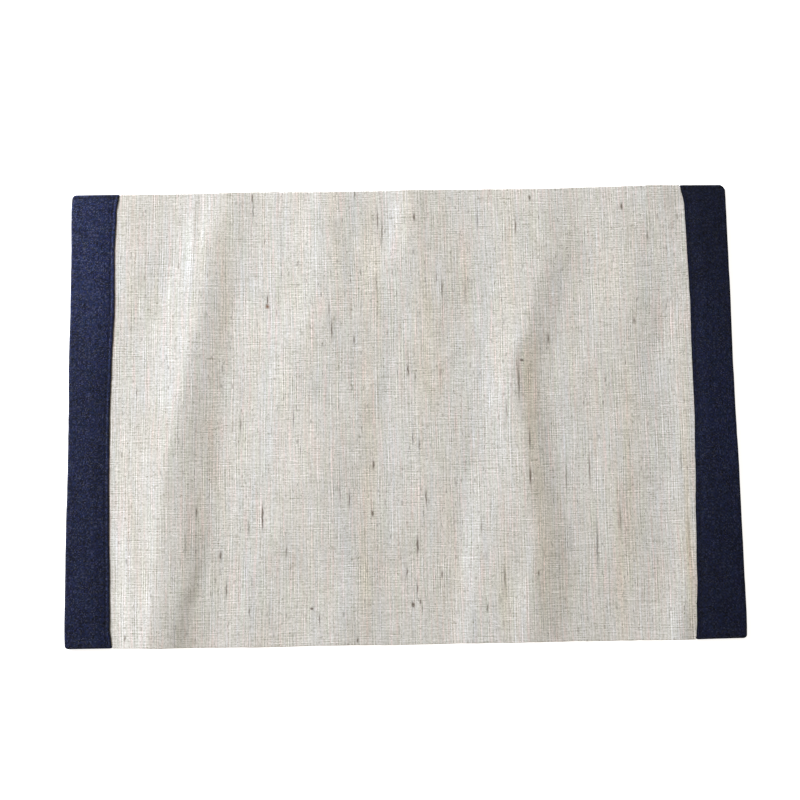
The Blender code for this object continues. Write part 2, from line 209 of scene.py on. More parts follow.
def look_up(table, column, at):
    """A column of a table at places, eased between its stations."""
    key = "y" if "y" in table else "x"
    stations = np.asarray(table[key], float)
    values = np.asarray(table[column], float)
    at = np.clip(np.asarray(at, float), stations[0], stations[-1])
    low = np.clip(np.searchsorted(stations, at, side="right") - 1, 0, len(stations) - 2)
    share = (at - stations[low]) / (stations[low + 1] - stations[low])
    return values[low] + (values[low + 1] - values[low]) * eased(share)


def fade(distance, reach):
    """1 at distance 0, falling softly to 0 at the reach."""
    return 0.5 * (1 + np.cos(pi * np.clip(distance / reach, 0, 1)))


def soft_noise(x, y, size_x, size_y, seed):
    """Smooth noise of about -1 to 1, whose lumps are size_x by size_y."""
    lattice = np.random.default_rng(seed).uniform(-1, 1, (NOISE_LATTICE, NOISE_LATTICE))
    u, v = np.asarray(x) / size_x + NOISE_START[0], np.asarray(y) / size_y + NOISE_START[1]
    i, j = np.floor(u).astype(int), np.floor(v).astype(int)
    share_u, share_v = eased(u - i), eased(v - j)
    i, j = i % (NOISE_LATTICE - 1), j % (NOISE_LATTICE - 1)
    low = lattice[i, j] * (1 - share_u) + lattice[i + 1, j] * share_u
    high = lattice[i, j + 1] * (1 - share_u) + lattice[i + 1, j + 1] * share_u
    return low * (1 - share_v) + high * share_v


def fold_height(fold, x, y):
    """How high one fold lifts the cloth: a rounded crest, whose two slopes ease out at its feet."""
    crest = look_up(fold, "crest", y)
    rounding = fold.get("rounding", CREST_ROUNDING)
    foot = np.where(x < crest, look_up(fold, "left_foot", y), look_up(fold, "right_foot", y))
    cusp = np.where(x < crest, fold["left_cusp"], fold["right_cusp"])
    away = np.sqrt((x - crest) ** 2 + rounding ** 2) - rounding
    share = np.minimum(away / np.abs(foot - crest), 1)
    cusped = (1 - share) ** 2 * (1 + CUSP_EASING * share)
    return look_up(fold, "height", y) * (cusp * cusped + (1 - cusp) * 0.5 * (1 + np.cos(pi * share)))


def crease_height(crease, x, y):
    """The rise of one small crease, which fades out at its two ends and to its sides."""
    along = np.array((crease.x1 - crease.x0, crease.y1 - crease.y0))
    length = np.hypot(*along)
    ux, uy = along / length
    t = ((x - crease.x0) * ux + (y - crease.y0) * uy) / length
    off = (x - crease.x0) * uy - (y - crease.y0) * ux
    ends = fade(np.clip(np.abs(t - 0.5) - 0.25, 0, None), 0.5)
    return crease.rise * ends * np.exp(-(off / crease.half_width) ** 2)


def cloth_underside(x, y):
    """The height of the middle cloth's underside above the table."""
    from_left = x - look_up(SHORT_ENDS, "left_seam", y)
    from_right = look_up(SHORT_ENDS, "right_seam", y) - x
    near = np.minimum(from_left, from_right)
    height = sum(fold_height(fold, x, y) for fold in FOLDS)
    small = sum(crease_height(crease, x, y) for crease in CREASES)
    small += 0.10 * soft_noise(x, y, 21, 34, 11) + 0.05 * soft_noise(x, y, 8, 15, 12) + MEAN_LIFT
    height = np.maximum(height + small, LEAST_LIFT * np.exp(np.clip(height + small, -4, 0)))
    height *= 1 - fade(near, FOLD_START)
    height += CLOTH_LIFT * (fade(from_left, LEFT_SETTLE) + fade(from_right, RIGHT_SETTLE))
    return np.where(near <= 0, CLOTH_LIFT, height)


# -------------------- objects and meshes

def add_object(name, data):
    """A new object of the scene."""
    made = bpy.data.objects.new(name, data)
    bpy.context.scene.collection.objects.link(made)
    return made


def add_piece(name, mesh, material):
    """An object that rides on the part, with its material, shaded smooth."""
    mesh.polygons.foreach_set("use_smooth", np.ones(len(mesh.polygons), bool))
    mesh.materials.append(material)
    made = add_object(name, mesh)
    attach(made, "root")
    return made


def mend(mesh, operation):
    """Runs an operation on a mesh."""
    bm = bmesh.new()
    bm.from_mesh(mesh)
    operation(bm)
    bm.to_mesh(mesh)
    bm.free()


def corner_vertices(mesh):
    """The number of the vertex at each face corner."""
    numbers = np.empty(len(mesh.loops), np.int32)
    mesh.loops.foreach_get("vertex_index", numbers)
    return numbers


def add_uv(mesh, name, places):
    """A UV map from the places of the face corners."""
    mesh.uv_layers.new(name=name).data.foreach_set("uv", places.astype(np.float32).ravel())


# -------------------- materials

class Nodes:
    """Short ways to add and join the nodes of one material."""

    def __init__(self, name):
        self.material = bpy.data.materials.new(name)
        self.material.use_nodes = True
        self.tree = self.material.node_tree
        self.shader = self.tree.nodes["Principled BSDF"]

    def put(self, socket, value):
        """Joins a socket to another node's output, or sets it to a constant."""
        if isinstance(value, bpy.types.NodeSocket):
            self.tree.links.new(value, socket)
        else:
            socket.default_value = value

    def math(self, operation, *values):
        node = self.tree.nodes.new("ShaderNodeMath")
        node.operation = operation
        for socket, value in zip(node.inputs, values):
            self.put(socket, value)
        return node.outputs[0]

    def add(self, a, b):
        return self.math("ADD", a, b)

    def sub(self, a, b):
        return self.math("SUBTRACT", a, b)

    def mul(self, a, b):
        return self.math("MULTIPLY", a, b)

    def scaled(self, value, times, plus):
        return self.math("MULTIPLY_ADD", value, times, plus)

    def swing(self, value, size):
        """A value of 0 to 1 as a swing of half the size to either side of 0."""
        return self.scaled(value, size, -size / 2)

    def total(self, *values):
        result = values[0]
        for value in values[1:]:
            result = self.add(result, value)
        return result

    def ramp(self, value, low, high, to_low=0.0, to_high=1.0):
        """Value from low..high to to_low..to_high, smoothly and clamped."""
        node = self.tree.nodes.new("ShaderNodeMapRange")
        node.interpolation_type = "SMOOTHSTEP"
        for index, given in enumerate((value, low, high, to_low, to_high)):
            self.put(node.inputs[index], given)
        return node.outputs[0]

    def bell(self, value, middle, reach):
        """1 where the value is at the middle, falling off smoothly over the reach."""
        off = self.mul(self.sub(value, middle), 1 / reach)
        return self.math("EXPONENT", self.mul(self.mul(off, off), -1.0))

    def patch(self, x, y, spot):
        """1 in the middle of a spot, falling off smoothly over its half width and half length."""
        across = self.mul(self.sub(x, spot.x), 1 / spot.half_width)
        along = self.mul(self.sub(y, spot.y), 1 / spot.half_length)
        square = self.add(self.mul(across, across), self.mul(along, along))
        return self.math("EXPONENT", self.mul(square, -1.0))

    def vector(self, x=0.0, y=0.0, z=0.0):
        node = self.tree.nodes.new("ShaderNodeCombineXYZ")
        for socket, value in zip(node.inputs, (x, y, z)):
            self.put(socket, value)
        return node.outputs[0]

    def noise(self, vector, detail=2.0, rough=0.5):
        node = self.tree.nodes.new("ShaderNodeTexNoise")
        self.put(node.inputs["Vector"], vector)
        node.inputs["Scale"].default_value = 1.0
        node.inputs["Detail"].default_value = detail
        node.inputs["Roughness"].default_value = rough
        return node.outputs[0]

    def drift(self, x, y, per_x, per_y, seed, detail=2.0, rough=0.5):
        """Noise of 0 to 1 over the plane, with per_x lumps to a unit of x and per_y to a unit of y."""
        place = self.vector(self.mul(x, per_x), self.mul(y, per_y), seed)
        return self.noise(place, detail, rough)

    def random(self, x, y, seed):
        """A value of 0 to 1 for each whole x and y, with nothing in common with its neighbours'."""
        node = self.tree.nodes.new("ShaderNodeTexWhiteNoise")
        node.noise_dimensions = "3D"
        self.put(node.inputs["Vector"], self.vector(x, y, seed))
        return node.outputs[0]

    def blend(self, factor, a, b, how="MIX"):
        node = self.tree.nodes.new("ShaderNodeMix")
        node.data_type = "RGBA"
        node.blend_type = how
        self.put(node.inputs[0], factor)
        self.put(node.inputs[6], a)
        self.put(node.inputs[7], b)
        return node.outputs[2]

    def plane(self, uv_name=None):
        """Places in mm: from a UV map of hundreds of mm, or from the object's own x and y."""
        split = self.tree.nodes.new("ShaderNodeSeparateXYZ")
        if uv_name:
            source = self.tree.nodes.new("ShaderNodeUVMap")
            source.uv_map = uv_name
            self.put(split.inputs[0], source.outputs[0])
            return self.mul(split.outputs[0], UV_UNIT), self.mul(split.outputs[1], UV_UNIT)
        source = self.tree.nodes.new("ShaderNodeTexCoord")
        self.put(split.inputs[0], source.outputs["Object"])
        return self.mul(split.outputs[0], 1 / MM), self.mul(split.outputs[1], 1 / MM)

    def bump(self, height, depth_mm):
        node = self.tree.nodes.new("ShaderNodeBump")
        node.inputs["Strength"].default_value = 1.0
        node.inputs["Distance"].default_value = depth_mm * MM
        self.put(node.inputs["Height"], height)
        self.put(self.shader.inputs["Normal"], node.outputs[0])

    def finish(self, colour, roughness, **constants):
        """The material, with its colour, its roughness and what is the same all over it."""
        self.put(self.shader.inputs["Base Color"], colour)
        self.put(self.shader.inputs["Roughness"], roughness)
        for socket, value in constants.items():
            self.shader.inputs[socket.replace("_", " ")].default_value = value
        return self.material


UV_UNIT = 100.0

# the weaves: how many mm apart their threads are, how far they stray, and how uneven they are in width
WARP_PITCH = 0.80
WEFT_PITCH = 0.74
NAVY_PITCH = 0.74
CREAM_WANDER = 5.0
NAVY_WANDER = 3.0
THREAD_UNEVENNESS = 1.5

CREAM = (0.664, 0.648, 0.602, 1)
SLUB_BROWN = (0.130, 0.100, 0.074, 1)
RUST = (0.195, 0.090, 0.042, 1)
FLECK_BLUE = (0.0205, 0.0215, 0.0285)
THREAD_NAVY = (0.010, 0.012, 0.028, 1)

# how strong the slubs are, how dark they may get and how far they bend, and the one rust-coloured spot
SLUB_DEPTH = 2.7
SLUB_DARKEST = 0.92
SLUB_BEND = 1.3
Spot = namedtuple("Spot", "x y half_width half_length")
RUST_SPOT = Spot(-97.2, 78.8, 1.5, 1.5)

# the tinted yarns of the cream cloth: how many streaks of them to a mm, a seed and their colour
Tint = namedtuple("Tint", "per_mm seed colour")
CREAM_TINTS = (
    Tint(0.42, 31.0, (0.714, 0.620, 0.580, 1)),
    Tint(0.37, 57.0, (0.642, 0.648, 0.576, 1)),
    Tint(0.48, 83.0, (0.652, 0.649, 0.632, 1)),
)

# the two navy cloths: the dye, how light they are at their front, middle and back, how much their crossings
# differ, and how dark their thin rows are
# the lightness at front, middle and back is painted light: painted sheen and fall-off of the lamp at the back
# left, which make the left binding lighter towards its back and lighter than the right one
Navy = namedtuple("Navy", "dye front middle back fleck rows")
NAVY = {
    "left": Navy((0.0053, 0.0090, 0.0355, 1), 0.95, 1.14, 1.67, 1.9, 0.50),
    "right": Navy((0.0056, 0.0098, 0.0372, 1), 0.60, 0.79, 0.52, 1.7, 0.20),
}

# a painted highlight on the pressed ridge and a painted shadow in the topstitching's dip, along a binding's
# seam:
# their distance from it, their reach, and how much they change
Line = namedtuple("Line", "place reach change")
SEAM_LINES = (Line(1.8, 0.8, 0.28), Line(3.1, 0.7, -0.30))

# the painted shadow along the back of a binding, in its topstitching's dip: where it is and how wide
BACK_SEAM_DARK = 162.2
BACK_SEAM_REACH = 0.6

# slubs that show in the photograph: their place, half width and half length in mm, and how dark they are
Slub = namedtuple("Slub", "x y half_width half_length dark")
SLUBS = [Slub(*row) for row in (
    (-97.6, 80.2, 0.7, 0.9, 0.3),
    (-97, 84, 0.5, 3.4, 0.5),
    (-101.2, -74.5, 0.5, 7.5, 0.7),
    (-101, -72, 0.7, 2.5, 0.45),
    (-108.2, 160.5, 0.5, 3, 0.55),
    (-107.6, 151, 0.4, 5, 0.35),
    (-50.2, 60.5, 0.5, 7, 0.4),
    (-34, 53, 0.6, 3, 0.35),
    (-52, 76, 0.9, 4, 0.2),
    (-15.8, 143, 0.4, 8, 0.4),
    (-12.5, 133, 0.5, 9, 0.3),
    (-32.4, 163, 0.5, 4, 0.35),
    (11.2, 144, 0.7, 3, 0.4),
    (58, 142, 0.5, 8, 0.25),
    (97, 157.5, 0.8, 1.5, 0.55),
    (86, 136, 0.6, 5, 0.35),
    (165, 149.5, 0.8, 2.6, 0.45),
    (183, 127, 0.7, 3.5, 0.28),
    (31, 90, 0.5, 6, 0.35),
    (26.8, 98, 0.5, 4, 0.25),
    (5, 30.5, 0.6, 4, 0.4),
    (10, 25, 0.5, 3, 0.3),
    (85, 20, 0.6, 13, 0.35),
    (87.5, 36, 1.3, 0.8, 0.6),
    (91.8, -22, 0.5, 8, 0.38),
    (91.2, -48, 0.7, 6, 0.42),
    (107.8, 52, 0.7, 3.5, 0.35),
    (170.5, 64, 1, 2.2, 0.28),
    (75.6, 0, 0.6, 6, 0.25),
    (7.5, -20, 0.5, 4, 0.3),
    (12, -24, 0.5, 4, 0.3),
    (-21.2, -38, 0.7, 2.6, 0.5),
    (-22.4, -73, 0.8, 2.2, 0.45),
    (-38.8, -63, 0.5, 6, 0.38),
    (-45.6, -58, 0.4, 7, 0.25),
    (-78.4, -4, 0.4, 7, 0.3),
    (-117, -8, 0.5, 6, 0.3),
    (-111, -82, 0.5, 6, 0.32),
    (-148.4, -70, 0.6, 4, 0.35),
    (-131.2, -101, 0.8, 3, 0.42),
    (-127, -125, 0.5, 6, 0.4),
    (-155.6, -92, 0.4, 10, 0.25),
    (-84, -99, 0.5, 4, 0.3),
    (-66, -139.5, 1.2, 0.8, 0.5),
    (-61, -147, 0.5, 4, 0.35),
    (-34, -162, 0.6, 1.8, 0.4),
    (-110.6, -141, 0.5, 3, 0.35),
    (-198.6, -158, 0.6, 2.2, 0.4),
    (-192, 17, 0.4, 3, 0.3),
    (16.4, -62, 0.5, 5, 0.42),
    (9.6, -96, 0.8, 6, 0.42),
    (1.6, -115, 0.6, 3, 0.32),
    (26.8, -117, 0.7, 2.2, 0.38),
    (8.8, -127, 0.5, 5, 0.35),
    (5.6, -138, 0.9, 1.8, 0.55),
    (10.8, -136, 0.6, 1.6, 0.45),
    (58.4, -141, 0.5, 3, 0.4),
    (71.2, -120, 0.6, 7, 0.35),
    (95.4, -117, 0.5, 1.8, 0.45),
    (138, -98, 0.6, 16, 0.3),
    (134.5, -43.5, 0.6, 12, 0.28),
    (47.7, 87, 0.5, 8, 0.2),
    (-17.5, 96, 0.5, 7, 0.22),
    (117.6, -50, 0.5, 12, 0.25),
    (155, -80, 0.9, 10, 0.22),
    (203.4, -90, 0.7, 16, 0.14),
    (200.4, -40, 0.6, 8, 0.2),
    (55.6, -84, 0.6, 5, 0.25),
)]

# warm and cool streaks that show in the photograph, partly tinted yarn and partly painted shade: warm ones on
# the folds' shaded slopes stand in for the warmer colour of shade there. Their middle, half width and half
# length in mm, and how warm they are (cool below 0)
Streak = namedtuple("Streak", "x y half_width half_length warmth")
STREAKS = [Streak(*row) for row in (
    (-196, 122, 4, 50, 0.9),
    (-172, 90, 6, 60, -0.4),
    (-157, 110, 5, 50, -0.5),
    (-148, -100, 4, 60, 0.6),
    (-136, 0, 5, 60, 0.5),
    (-128, 110, 5, 60, 0.6),
    (-112, -110, 6, 60, -0.5),
    (-95, 60, 6, 80, -0.4),
    (-78, -110, 5, 50, 0.4),
    (-67, 0, 4, 50, 0.3),
    (-48, 120, 4, 50, 0.5),
    (-42, -110, 5, 60, -0.7),
    (-28, -110, 4, 60, 0.9),
    (-24, 0, 5, 70, 0.9),
    (-22, 110, 5, 50, 0.6),
    (-8, 0, 6, 170, -0.5),
    (18, 100, 6, 70, 0.7),
    (14, -10, 4, 60, 0.4),
    (30, -30, 6, 120, 0.35),
    (45, -90, 5, 80, -0.7),
    (60, 10, 8, 130, -0.7),
    (71, -115, 4, 55, 0.8),
    (82, 115, 4, 50, 0.8),
    (93, 0, 5, 60, 1.3),
    (99, -100, 6, 60, 0.8),
    (118, 0, 5, 60, -0.8),
    (154, -115, 4, 55, 0.8),
    (164, 0, 4, 60, 0.6),
    (189, -40, 8, 110, -0.5),
    (203, -100, 2.2, 60, 1.5),
    (205, -20, 2.0, 40, 0.8),
    (162, -60, 3.5, 60, 0.8),
    (-16, 85, 3, 45, 0.8),
    (21, 85, 6, 35, 0.4),
    (48, 90, 4, 40, 0.6),
)]


def slub_marks(n, x, y):
    """One mask for all the slubs of the table."""
    total = None
    bent = n.add(x, n.swing(n.drift(x, y, 0.1, 0.25, 3.0, detail=1.0), SLUB_BEND))
    for slub in SLUBS:
        mark = n.mul(n.patch(bent, y, slub), slub.dark)
        total = mark if total is None else n.math("MAXIMUM", total, mark)
    return n.math("MINIMUM", n.mul(total, SLUB_DEPTH), SLUB_DARKEST)


def warm_streaks(n, x, y):
    """How warm the cloth is at each place, from the table: tinted yarn, and painted shade where streaks lie
    on shaded slopes.
    """
    return n.total(*(n.mul(n.patch(x, y, streak), streak.warmth) for streak in STREAKS))


def threads(n, place, pitch, seed):
    """Threads of uneven width that follow each other along a place in mm.

    Gives the place in threads, the thread's number, and its roundness: 1 in its middle, 0 at its edge.
    """
    along = n.mul(place, 1 / pitch)
    uneven = n.noise(n.vector(n.mul(along, 0.55), seed, 0.0), detail=1.0)
    along = n.add(along, n.swing(uneven, THREAD_UNEVENNESS))
    number = n.math("FLOOR", along)
    off_middle = n.math("ABSOLUTE", n.scaled(n.sub(along, number), 2.0, -1.0))
    return along, number, n.scaled(n.math("POWER", off_middle, 2.0), -1.0, 1.0)


def slub_weave(name):
    """Cream plain weave: uneven threads, the upright ones bolder, tinted in long streaks, with dark slubs."""
    n = Nodes(name)
    x, y = n.plane()
    x_bent = n.add(x, n.swing(n.drift(x, y, 0.012, 0.010, 1.0), CREAM_WANDER))
    y_bent = n.add(y, n.swing(n.drift(x, y, 0.010, 0.014, 7.0), CREAM_WANDER))
    u, i, warp_round = threads(n, x_bent, WARP_PITCH, 2.3)
    v, j, weft_round = threads(n, y_bent, WEFT_PITCH, 9.1)
    rib = n.math("COMPARE", n.math("FLOORED_MODULO", i, 3.0), 1.0, 0.5)
    grain = n.drift(x, y, 2.6, 2.2, 5.0, detail=1.0, rough=0.7)
    pick = n.random(i, j, 6.0)
    pair = n.random(n.math("FLOOR", n.mul(i, 0.5)), j, 2.0)

    # which thread is on top at each place, and how high it stands
    warp_wave = n.math("COSINE", n.mul(n.add(n.sub(v, 0.5), i), pi))
    weft_wave = n.math("COSINE", n.mul(n.add(n.sub(u, 0.5), j), pi))
    warp_height = n.add(n.scaled(warp_wave, 0.26, 0.22), n.add(n.mul(warp_round, 0.62), n.mul(rib, 0.20)))
    weft_height = n.add(n.scaled(weft_wave, -0.30, 0.0), n.mul(weft_round, 0.50))
    height = n.math("MAXIMUM", warp_height, weft_height)

    # how much each thread differs from the next one, and where cross threads are thick or thin
    bold = n.ramp(n.drift(x, y, 0.09, 0.022, 14.0), 0.36, 0.62, 0.02, 0.12)
    warp_turns = n.add(bold, n.swing(n.drift(i, y, 0.19, 0.030, 19.0, detail=1.0), 1.4))
    weft_turns = n.swing(n.drift(x, j, 0.060, 0.21, 29.0, detail=1.0), 1.5)
    dashes = n.drift(x, j, 0.07, 4.77, 23.0, detail=1.0)
    hue = n.drift(x, y, 0.075, 0.014, 37.0)
    warmth = n.math("MAXIMUM", n.add(warm_streaks(n, x, y), n.swing(hue, 2.2)), -0.55)

    tone = n.total(
        # each thread's own shade, which drifts along it
        n.swing(n.drift(i, y, 3.71, 0.040, 4.0, rough=0.6), 0.42),
        n.swing(n.drift(x, j, 0.05, 3.37, 8.0, rough=0.6), 0.28),
        # neighbours that are light and dark by turns, and a lighter rib at every third thread
        n.mul(warp_turns, n.sub(n.math("FLOORED_MODULO", i, 2.0), 0.5)),
        n.mul(weft_turns, n.sub(n.math("FLOORED_MODULO", j, 2.0), 0.5)),
        n.scaled(rib, 0.10, -0.033),
        # the crossings, the shadow between threads, the fibres and a few dark specks
        n.swing(pair, 0.10),
        n.mul(n.ramp(height, 0.40, 0.10), -0.12),
        n.swing(grain, 0.30),
        n.swing(pick, 0.30),
        n.mul(n.ramp(pick, 0.012, 0.006), -0.20),
        # pale upright threads, and short dark and pale cross threads
        n.mul(n.ramp(n.drift(i, y, 5.13, 0.020, 17.0, detail=1.0), 0.62, 0.72), 0.14),
        n.mul(n.ramp(dashes, 0.66, 0.74), -0.16),
        n.mul(n.ramp(dashes, 0.36, 0.27), 0.15),
        # long streaks, broad clouds, and warm places made a little darker, partly painted shade of the folds'
        # slopes
        n.swing(n.drift(x_bent, y, 0.50, 0.018, 12.0, rough=0.62), 0.10),
        n.swing(n.drift(x, y, 0.020, 0.013, 71.0), 0.08),
        n.mul(warmth, -0.026))

    base = CREAM
    for tint in CREAM_TINTS:
        field = n.drift(x_bent, y, tint.per_mm, tint.per_mm * 0.05, tint.seed, detail=3.0, rough=0.62)
        base = n.blend(n.mul(n.ramp(field, 0.47, 0.66), 0.75), base, tint.colour)
    level = n.math("MAXIMUM", n.add(tone, 1.0), 0.2)
    red = n.mul(level, n.scaled(warmth, 0.036, 1.0))
    blue = n.mul(n.scaled(tone, 1.15, 1.0), n.scaled(warmth, -0.052, 1.0))
    colour = n.blend(1.0, base, n.vector(red, level, n.math("MAXIMUM", blue, 0.2)), "MULTIPLY")
    slubs = n.mul(slub_marks(n, x, y), n.scaled(pick, 0.40, 0.72))
    small_slubs = n.ramp(n.drift(i, y, 3.9, 0.13, 90.0, detail=1.0), 0.66, 0.76)
    marks = n.math("MAXIMUM", slubs, n.mul(small_slubs, 0.44))
    colour = n.blend(marks, colour, SLUB_BROWN)
    colour = n.blend(n.patch(x, y, RUST_SPOT), colour, RUST)
    n.bump(n.add(height, n.add(n.mul(grain, 0.3), n.mul(pair, 0.35))), 0.075)
    rough = n.scaled(grain, 0.10, 0.86)
    return n.finish(colour, rough, Specular_IOR_Level=0.22, Sheen_Weight=0.10, Sheen_Roughness=0.5)


def painted_seam_light(n, u, v):
    """How light a binding is near its seams, all painted light: painted shadow at the very edge and along its
    back, and a painted highlight and shadow by the topstitching.
    """
    # painted shadow under the seam's folded edge
    light = n.ramp(n.math("ABSOLUTE", u), 1.4, 0.5, 1.0, 0.5)
    for line in SEAM_LINES:
        light = n.add(light, n.mul(n.bell(u, line.place, line.reach), line.change))
    # painted shadow along the back seam, broken in places
    gaps = n.ramp(n.noise(n.vector(n.mul(u, 0.55), 3.0, 0.0), detail=1.0), 0.40, 0.58, 0.25, 0.60)
    return n.sub(light, n.mul(n.bell(v, BACK_SEAM_DARK, BACK_SEAM_REACH), gaps))


def navy_twill(name, cloth):
    """Navy cloth: fine slanting twill of crossings that each have their own shade and hue, with light flecks.

    Thin dark rows run across it, and painted sheen and light fall-off make it lighter or darker along the
    binding, as its table says.
    """
    n = Nodes(name)
    u, v = n.plane("Cloth")
    wander = n.swing(n.drift(u, v, 0.03, 0.03, 1.0), NAVY_WANDER)
    _, i, round_i = threads(n, n.add(u, wander), NAVY_PITCH, 3.1)
    _, j, round_j = threads(n, n.add(v, wander), NAVY_PITCH, 6.2)
    step = n.math("FLOORED_MODULO", n.add(i, j), 3.0)
    over = n.ramp(n.math("ABSOLUTE", n.sub(step, 1.0)), 0.4, 0.6, 1.0, 0.0)
    height = n.add(n.mul(round_i, n.scaled(over, 0.5, 0.5)), n.mul(round_j, n.scaled(over, -0.4, 0.6)))
    grain = n.drift(u, v, 2.4, 2.4, 61.0, rough=0.7)
    row = n.drift(u, j, 0.085, 4.3, 21.0, detail=1.0)

    tone = n.total(
        # the crossings, the slanting twill line and the fibres
        n.add(n.swing(n.random(i, j, 4.0), cloth.fleck * 0.9), 1.0),
        n.scaled(over, 0.34, -0.12),
        n.swing(grain, 1.0),
        # threads that differ from their neighbours, broad clouds, and dark and pale rows
        n.swing(n.drift(i, v, 4.9, 0.045, 27.0), 0.9),
        n.swing(n.drift(u, v, 0.06, 0.05, 41.0, detail=3.0), 0.7),
        n.mul(n.ramp(row, 0.60, 0.70), -cloth.rows),
        n.mul(n.ramp(row, 0.38, 0.30), cloth.rows * 0.5))
    # painted sheen and light fall-off along the binding, from the table
    front_half = n.ramp(v, -125.0, -5.0, cloth.front, cloth.middle)
    back_half = n.ramp(v, 5.0, 130.0, 0.0, cloth.back - cloth.middle)
    shade = n.mul(n.add(front_half, back_half), painted_seam_light(n, u, v))
    tone = n.mul(n.math("MAXIMUM", tone, 0.10), shade)
    turn = n.add(n.swing(n.drift(u, v, 0.16, 0.11, 51.0), 1.2), n.swing(n.random(i, j, 9.0), 0.60))
    tint = n.vector(n.scaled(turn, 0.40, 1.0), n.scaled(turn, -0.26, 1.0), n.scaled(turn, 0.16, 1.0))
    colour = n.blend(1.0, cloth.dye, n.vector(tone, tone, tone), "MULTIPLY")
    colour = n.blend(1.0, colour, tint, "MULTIPLY")
    # light flecks of fibre, made brighter where the binding has painted sheen
    pale = n.mul(n.mul(n.math("POWER", n.random(i, j, 12.0), 5.0), shade), cloth.fleck)
    colour = n.blend(1.0, colour, n.vector(*(n.mul(pale, part) for part in FLECK_BLUE)), "ADD")
    n.bump(n.add(height, n.mul(grain, 0.4)), 0.13)
    return n.finish(colour, n.scaled(grain, 0.12, 0.70), Specular_IOR_Level=0.16, Sheen_Weight=0.0)


def sewing_thread(name):
    """Navy sewing thread with its fine twist."""
    n = Nodes(name)
    x, y = n.plane()
    twist = n.math("SINE", n.add(n.mul(x, 7.0), n.mul(y, 11.0)))
    fibre = n.drift(x, y, 3.0, 3.0, 2.0)
    tone = n.add(n.scaled(twist, 0.18, 0.75), n.mul(fibre, 0.5))
    colour = n.blend(1.0, THREAD_NAVY, n.vector(tone, tone, tone), "MULTIPLY")
    n.bump(n.add(twist, fibre), 0.03)
    return n.finish(colour, n.scaled(fibre, 0.15, 0.55), Specular_IOR_Level=0.25)


# -------------------- the middle cloth

CLOTH_STEP = 1.8
SETTLING_ROUNDS = 3
SEAM_TO_SEAM = 418.0

# the ends in the bindings: how deep in their columns are, and how far and where their hems step back
TUCKS = (26.0, 17.0, 9.0, 4.0, 1.5)
TUCK_INSET = 1.7
NOTCH_START = 0.6
NOTCH_END = 0.3

# the rows beside a hem, as distances from it, and its rounding
HEM_STEPS = (0.0, 0.07, 0.24, 0.5, 1.1)
HEM_RADIUS = 0.5

# where the cloth's two faces lie in its flat map, as a start and a size, and half of what it covers in mm
MAP_HALF_LENGTH = 242.0
MAP_HALF_WIDTH = 167.0
MAP_ACROSS = (0.004, 0.992)
UPPER_FACE = (0.302, 0.690)
LOWER_FACE = (0.008, 0.285)


def ragged(x, seed):
    """How far a hem wanders out of its line: a little at each few threads, and more in long waves."""
    return 0.10 * soft_noise(x, 0 * x, 1.9, 1, seed) + 0.16 * soft_noise(x, 0 * x, 7, 1, seed + 1)


def cloth_grid():
    """Where each column and row of the cloth lies, seen from above, and how far each point is from a hem."""
    count = round(SEAM_TO_SEAM / CLOTH_STEP)
    tucked = len(TUCKS) + 2
    share = [0.0] * tucked + [k / count for k in range(1, count)] + [1.0] * tucked
    offset = [-tuck for tuck in TUCKS] + [NOTCH_END, NOTCH_START] + [0.0] * (count - 1)
    offset += [-NOTCH_START, -NOTCH_END] + list(reversed(TUCKS))
    inset = [TUCK_INSET] * (tucked - 1) + [0.0] * (count + 1) + [TUCK_INSET] * (tucked - 1)
    share, offset, inset = (np.array(values, float)[None, :] for values in (share, offset, inset))
    hem = HEM_STEPS[-1]
    edge_rows = len(HEM_STEPS) - 1
    rows = round((MAT_WIDTH - 2 * hem) / CLOTH_STEP)
    inner = np.array([0.0] * edge_rows + [k / rows for k in range(rows + 1)] + [1.0] * edge_rows)
    from_front = np.array(list(HEM_STEPS[:-1]) + [hem] * (rows + 1 + edge_rows))
    from_back = from_front[::-1]
    inner, from_front, from_back = (values[:, None] for values in (inner, from_front, from_back))
    y = (inner - 0.5) * MAT_WIDTH + 0 * share

    # the ends depend on y and the edges on x, so the two settle in a few rounds
    for _ in range(SETTLING_ROUNDS):
        left = look_up(SHORT_ENDS, "left_seam", y)
        x = left + (look_up(SHORT_ENDS, "right_seam", y) - left) * share + offset
        front = look_up(LONG_EDGES, "front", x) + inset + ragged(x, 21)
        back = look_up(LONG_EDGES, "back", x) - inset - ragged(x, 23)
        y = front + hem + (back - hem - (front + hem)) * inner
        y = np.where(from_front < hem, front + from_front, y)
        y = np.where(from_back < hem, back - from_back, y)
    from_hem = np.minimum(np.minimum(from_front, from_back), HEM_RADIUS) + 0 * share
    return x, y, from_hem


def grid_faces(number, turn):
    """The faces between the numbered points of a grid, turned over where turn is -1."""
    corners = [number[:-1, :-1], number[:-1, 1:], number[1:, 1:], number[1:, :-1]]
    return np.stack(corners[::turn], -1).reshape(-1, 4)


